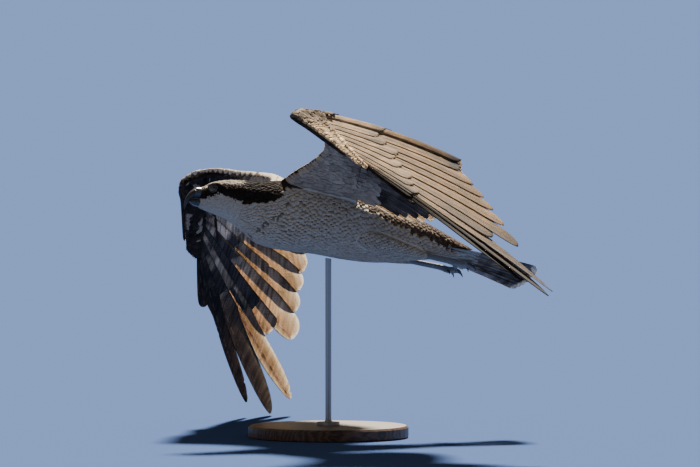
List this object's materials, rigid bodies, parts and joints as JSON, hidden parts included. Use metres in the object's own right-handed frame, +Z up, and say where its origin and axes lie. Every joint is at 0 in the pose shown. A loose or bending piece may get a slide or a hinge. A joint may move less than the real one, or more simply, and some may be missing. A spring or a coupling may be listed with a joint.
{
  "type": "osprey display model",
  "caption": "Life-size still model of an osprey banking in flight, wings half folded, on a round stand.",
  "frame": {"origin": "centre of the stand base's underside", "axes": "-Y is the way the bird heads, +X its left wing's side, +Z up; the bird itself is pitched up and banked on its stand"},
  "size_m": [1.0709, 0.5527, 0.5032],
  "materials": {
    "white_feather": "soft white body feathers",
    "brown_feather": "dark brown flight and back feathers",
    "black_horn": "smooth dark horn of bill and claws",
    "yellow_eye": "wet yellow eye",
    "grey_foot": "rough pale grey scaled skin",
    "walnut": "satin dark walnut",
    "brushed_steel": "brushed steel rod"
  },
  "bodies": {
    "root": {"alula_left": "brown_feather", "alula_right": "brown_feather", "bill_lower": "black_horn", "bill_upper": "black_horn", "claw_left_1": "black_horn", "claw_left_2": "black_horn", "claw_left_3": "black_horn", "claw_left_4": "black_horn", "claw_right_1": "black_horn", "claw_right_2": "black_horn", "claw_right_3": "black_horn", "claw_right_4": "black_horn", "eye_left": "yellow_eye", "eye_right": "yellow_eye", "foot_left": "grey_foot", "foot_right": "grey_foot", "head": "white_feather", "neck": "white_feather", "stand_base": "walnut", "stand_rod": "brushed_steel", "tail": "brown_feather", "thigh_left": "white_feather", "thigh_right": "white_feather", "torso": "white_feather", "wing_left_arm": "brown_feather", "wing_left_hand": "brown_feather", "wing_right_arm": "brown_feather", "wing_right_hand": "brown_feather"}
  },
  "joints": []
}
